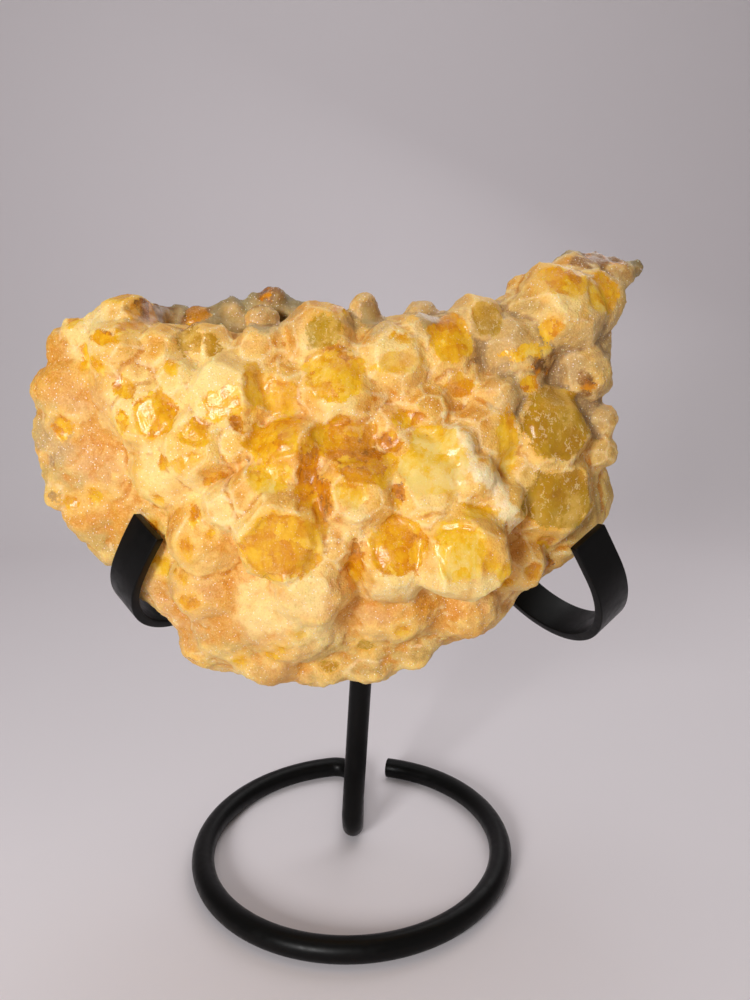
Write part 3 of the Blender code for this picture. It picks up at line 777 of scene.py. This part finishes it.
# the glassy faces: lemon to deep amber, streaked, in cells of their own tone
streaked = nodes.new("ShaderNodeMapping")
streaked.inputs["Scale"].default_value = (1.0, 1.0, 0.28)
links.new(where, streaked.inputs["Vector"])
streaks = noise_of(10 / 9, 3.0, 0.5, streaked.outputs["Vector"])
twist = nodes.new("ShaderNodeVectorMath")
twist.operation = "MULTIPLY_ADD"
links.new(veil.node.outputs["Color"], twist.inputs[0])
twist.inputs[1].default_value = (0.006, 0.006, 0.006)
links.new(where, twist.inputs[2])
cell = grains_of(5.5, twist.outputs["Vector"])[1]
depth = plus(attribute("tone"), stretch(veil, 0.30, 0.72, 0.10, -0.12))
depth = plus(depth, stretch(streaks, 0.3, 0.7, -0.07, 0.07))
depth = plus(depth, amount("shade", 0.12))
depth = plus(depth, stretch(cell, 0.0, 1.0, -0.22, 0.10))
glass = colours(depth, [(0.0, (0.97, 0.68, 0.19)), (0.24, (0.93, 0.54, 0.022)),
                        (0.44, (0.82, 0.40, 0.006)), (0.60, (0.74, 0.285, 0.003)),
                        (0.76, (0.60, 0.20, 0.005)), (0.88, (0.36, 0.125, 0.010)),
                        (1.0, (0.20, 0.08, 0.012))])
vein = worked("ABSOLUTE", worked("SUBTRACT", veil, 0.52))
crack = times(stretch(vein, 0.035, 0.008), stretch(streaks, 0.48, 0.58))
# on the olive faces the extra white crack lines are painted glints
crack_and_glint = plus(0.16, amount("olive", 0.45))
milk = stretch(plus(cloud, times(fleck, 0.35)), 0.66, 0.90, 0.0, 0.55)
frosted = stretch(noise_of(9.0, 6.0, 0.68), 0.49, 0.62, 0.0, 0.62)
for share, colour in (
        (amount("olive", 0.70), (0.40, 0.215, 0.010)),
        (amount("grey", 0.7), (0.36, 0.27, 0.16)),
        # white along the inner cracks, and more white lines on the olive faces as painted glints; milky
        # here and there, frosted where it is olive
        (times(crack, crack_and_glint), (0.97, 0.76, 0.38)),
        (milk, crust),
        (amount("olive", frosted), (0.86, 0.53, 0.11))):
    glass = blend(share, glass, colour)
edge = plus(attribute("glassy"), stretch(veil, 0.25, 0.75, -1.0, 1.2))
edge = plus(edge, stretch(fleck, 0.2, 0.8, -0.5, 0.5))
clear = stretch(edge, -0.45, 0.35)

# the rock of the back and the broken rim: grey-green to brown
broken = colours(noise_of(7.0, 5.0, 0.6), [(0.30, (0.19, 0.125, 0.045)),
                                           (0.52, (0.34, 0.25, 0.11)),
                                           (0.70, (0.46, 0.34, 0.16))])
broken = blend(amount("umber", 0.9), broken, (0.26, 0.10, 0.015))
surface = blend(clear, blend(attribute("rock"), crust, broken), glass)

# a few grains of the sugar are painted near white as glints, a painted highlight
off_middle, luck = grains_of(0.5)
painted_glint = times(stretch(luck, 0.88, 0.91), stretch(off_middle, 0.42, 0.25))
painted_glint = times(painted_glint, stretch(clear, 0.8, 0.2, 0.25, 1.0))
surface = blend(times(painted_glint, 0.9), surface, (1.0, 0.95, 0.84))
links.new(surface, shader.inputs["Base Color"])
links.new(times(clear, 0.05), shader.inputs["Transmission Weight"])

# dull crust, polished faces and grains
polish = nodes.new("ShaderNodeMix")
links.new(worked("MAXIMUM", clear, painted_glint), polish.inputs[0])
links.new(stretch(fleck, 0.3, 0.7, 0.38, 0.62), polish.inputs[2])
polish.inputs[3].default_value = 0.22
links.new(polish.outputs[0], shader.inputs["Roughness"])

height = plus(times(grains_of(0.6)[0], -0.8), times(fleck, 0.9))
height = times(height, stretch(clear, 0.0, 1.0, 1.0, 0.22))
sugar = nodes.new("ShaderNodeBump")
sugar.inputs["Strength"].default_value = 0.36
sugar.inputs["Distance"].default_value = 0.0006
links.new(height, sugar.inputs["Height"])
links.new(sugar.outputs["Normal"], shader.inputs["Normal"])
shader.inputs["IOR"].default_value = 1.54
shader.inputs["Specular IOR Level"].default_value = 0.32
shader.inputs["Subsurface Weight"].default_value = 0.45
shader.inputs["Subsurface Radius"].default_value = (1.0, 0.55, 0.16)
shader.inputs["Subsurface Scale"].default_value = 0.0034
stone.data.materials.clear()
stone.data.materials.append(quartz)

# ---- floor and light -------------------------------------------------------------------
# A plain pale sweep: level under the stand, turned up behind it in one wide curve.
sweep = bmesh.new()
bmesh.ops.create_grid(sweep, x_segments=1, y_segments=1, size=1.0)
bmesh.ops.scale(sweep, verts=sweep.verts, vec=(3.0, 1.3, 1))
bmesh.ops.translate(sweep, verts=sweep.verts, vec=(0, -0.85, 0))
rear = [e for e in sweep.edges if all(v.co.y > 0.4 for v in e.verts)]
spun = bmesh.ops.spin(sweep, geom=rear, cent=(0, 0.45, 0.3), axis=(1, 0, 0),
                      dvec=(0, 0, 0), angle=math.pi / 2, steps=24, use_merge=False)
rear = [g for g in spun["geom_last"] if isinstance(g, bmesh.types.BMEdge)]
wall = bmesh.ops.extrude_edge_only(sweep, edges=rear)["geom"]
bmesh.ops.translate(sweep, verts=[g for g in wall if isinstance(g, bmesh.types.BMVert)],
                    vec=(0, 0, 2.0))
bmesh.ops.recalc_face_normals(sweep, faces=sweep.faces)
floor = finished("floor", sweep)
pale = bpy.data.materials.new("pale paper")
pale.use_nodes = True
pale.node_tree.nodes["Principled BSDF"].inputs["Base Color"].default_value = (0.80, 0.75, 0.78, 1)
pale.node_tree.nodes["Principled BSDF"].inputs["Roughness"].default_value = 0.85
floor.data.materials.append(pale)

for name, place, size, watts in (("key", (-0.30, -0.66, 0.31), 0.20, 3.95),
                                 ("fill", (0.75, -0.55, 0.35), 0.9, 0.35),
                                 ("top", (-0.1, 0.15, 1.1), 0.8, 1.8),
                                 ("back", (0.25, 0.36, 0.62), 0.5, 1.1)):
    lamp = bpy.data.lights.new(name, "AREA")
    lamp.size = size
    lamp.energy = watts
    light = bpy.data.objects.new(name, lamp)
    light.location = place
    aim = Vector((0, 0, 0.13)) - Vector(place)
    light.rotation_euler = aim.to_track_quat("-Z", "Y").to_euler()
    bpy.context.scene.collection.objects.link(light)
world = bpy.data.worlds.new("room")
world.use_nodes = True
world.node_tree.nodes["Background"].inputs["Color"].default_value = (1.0, 0.96, 0.93, 1)
world.node_tree.nodes["Background"].inputs["Strength"].default_value = 0.20
bpy.context.scene.world = world
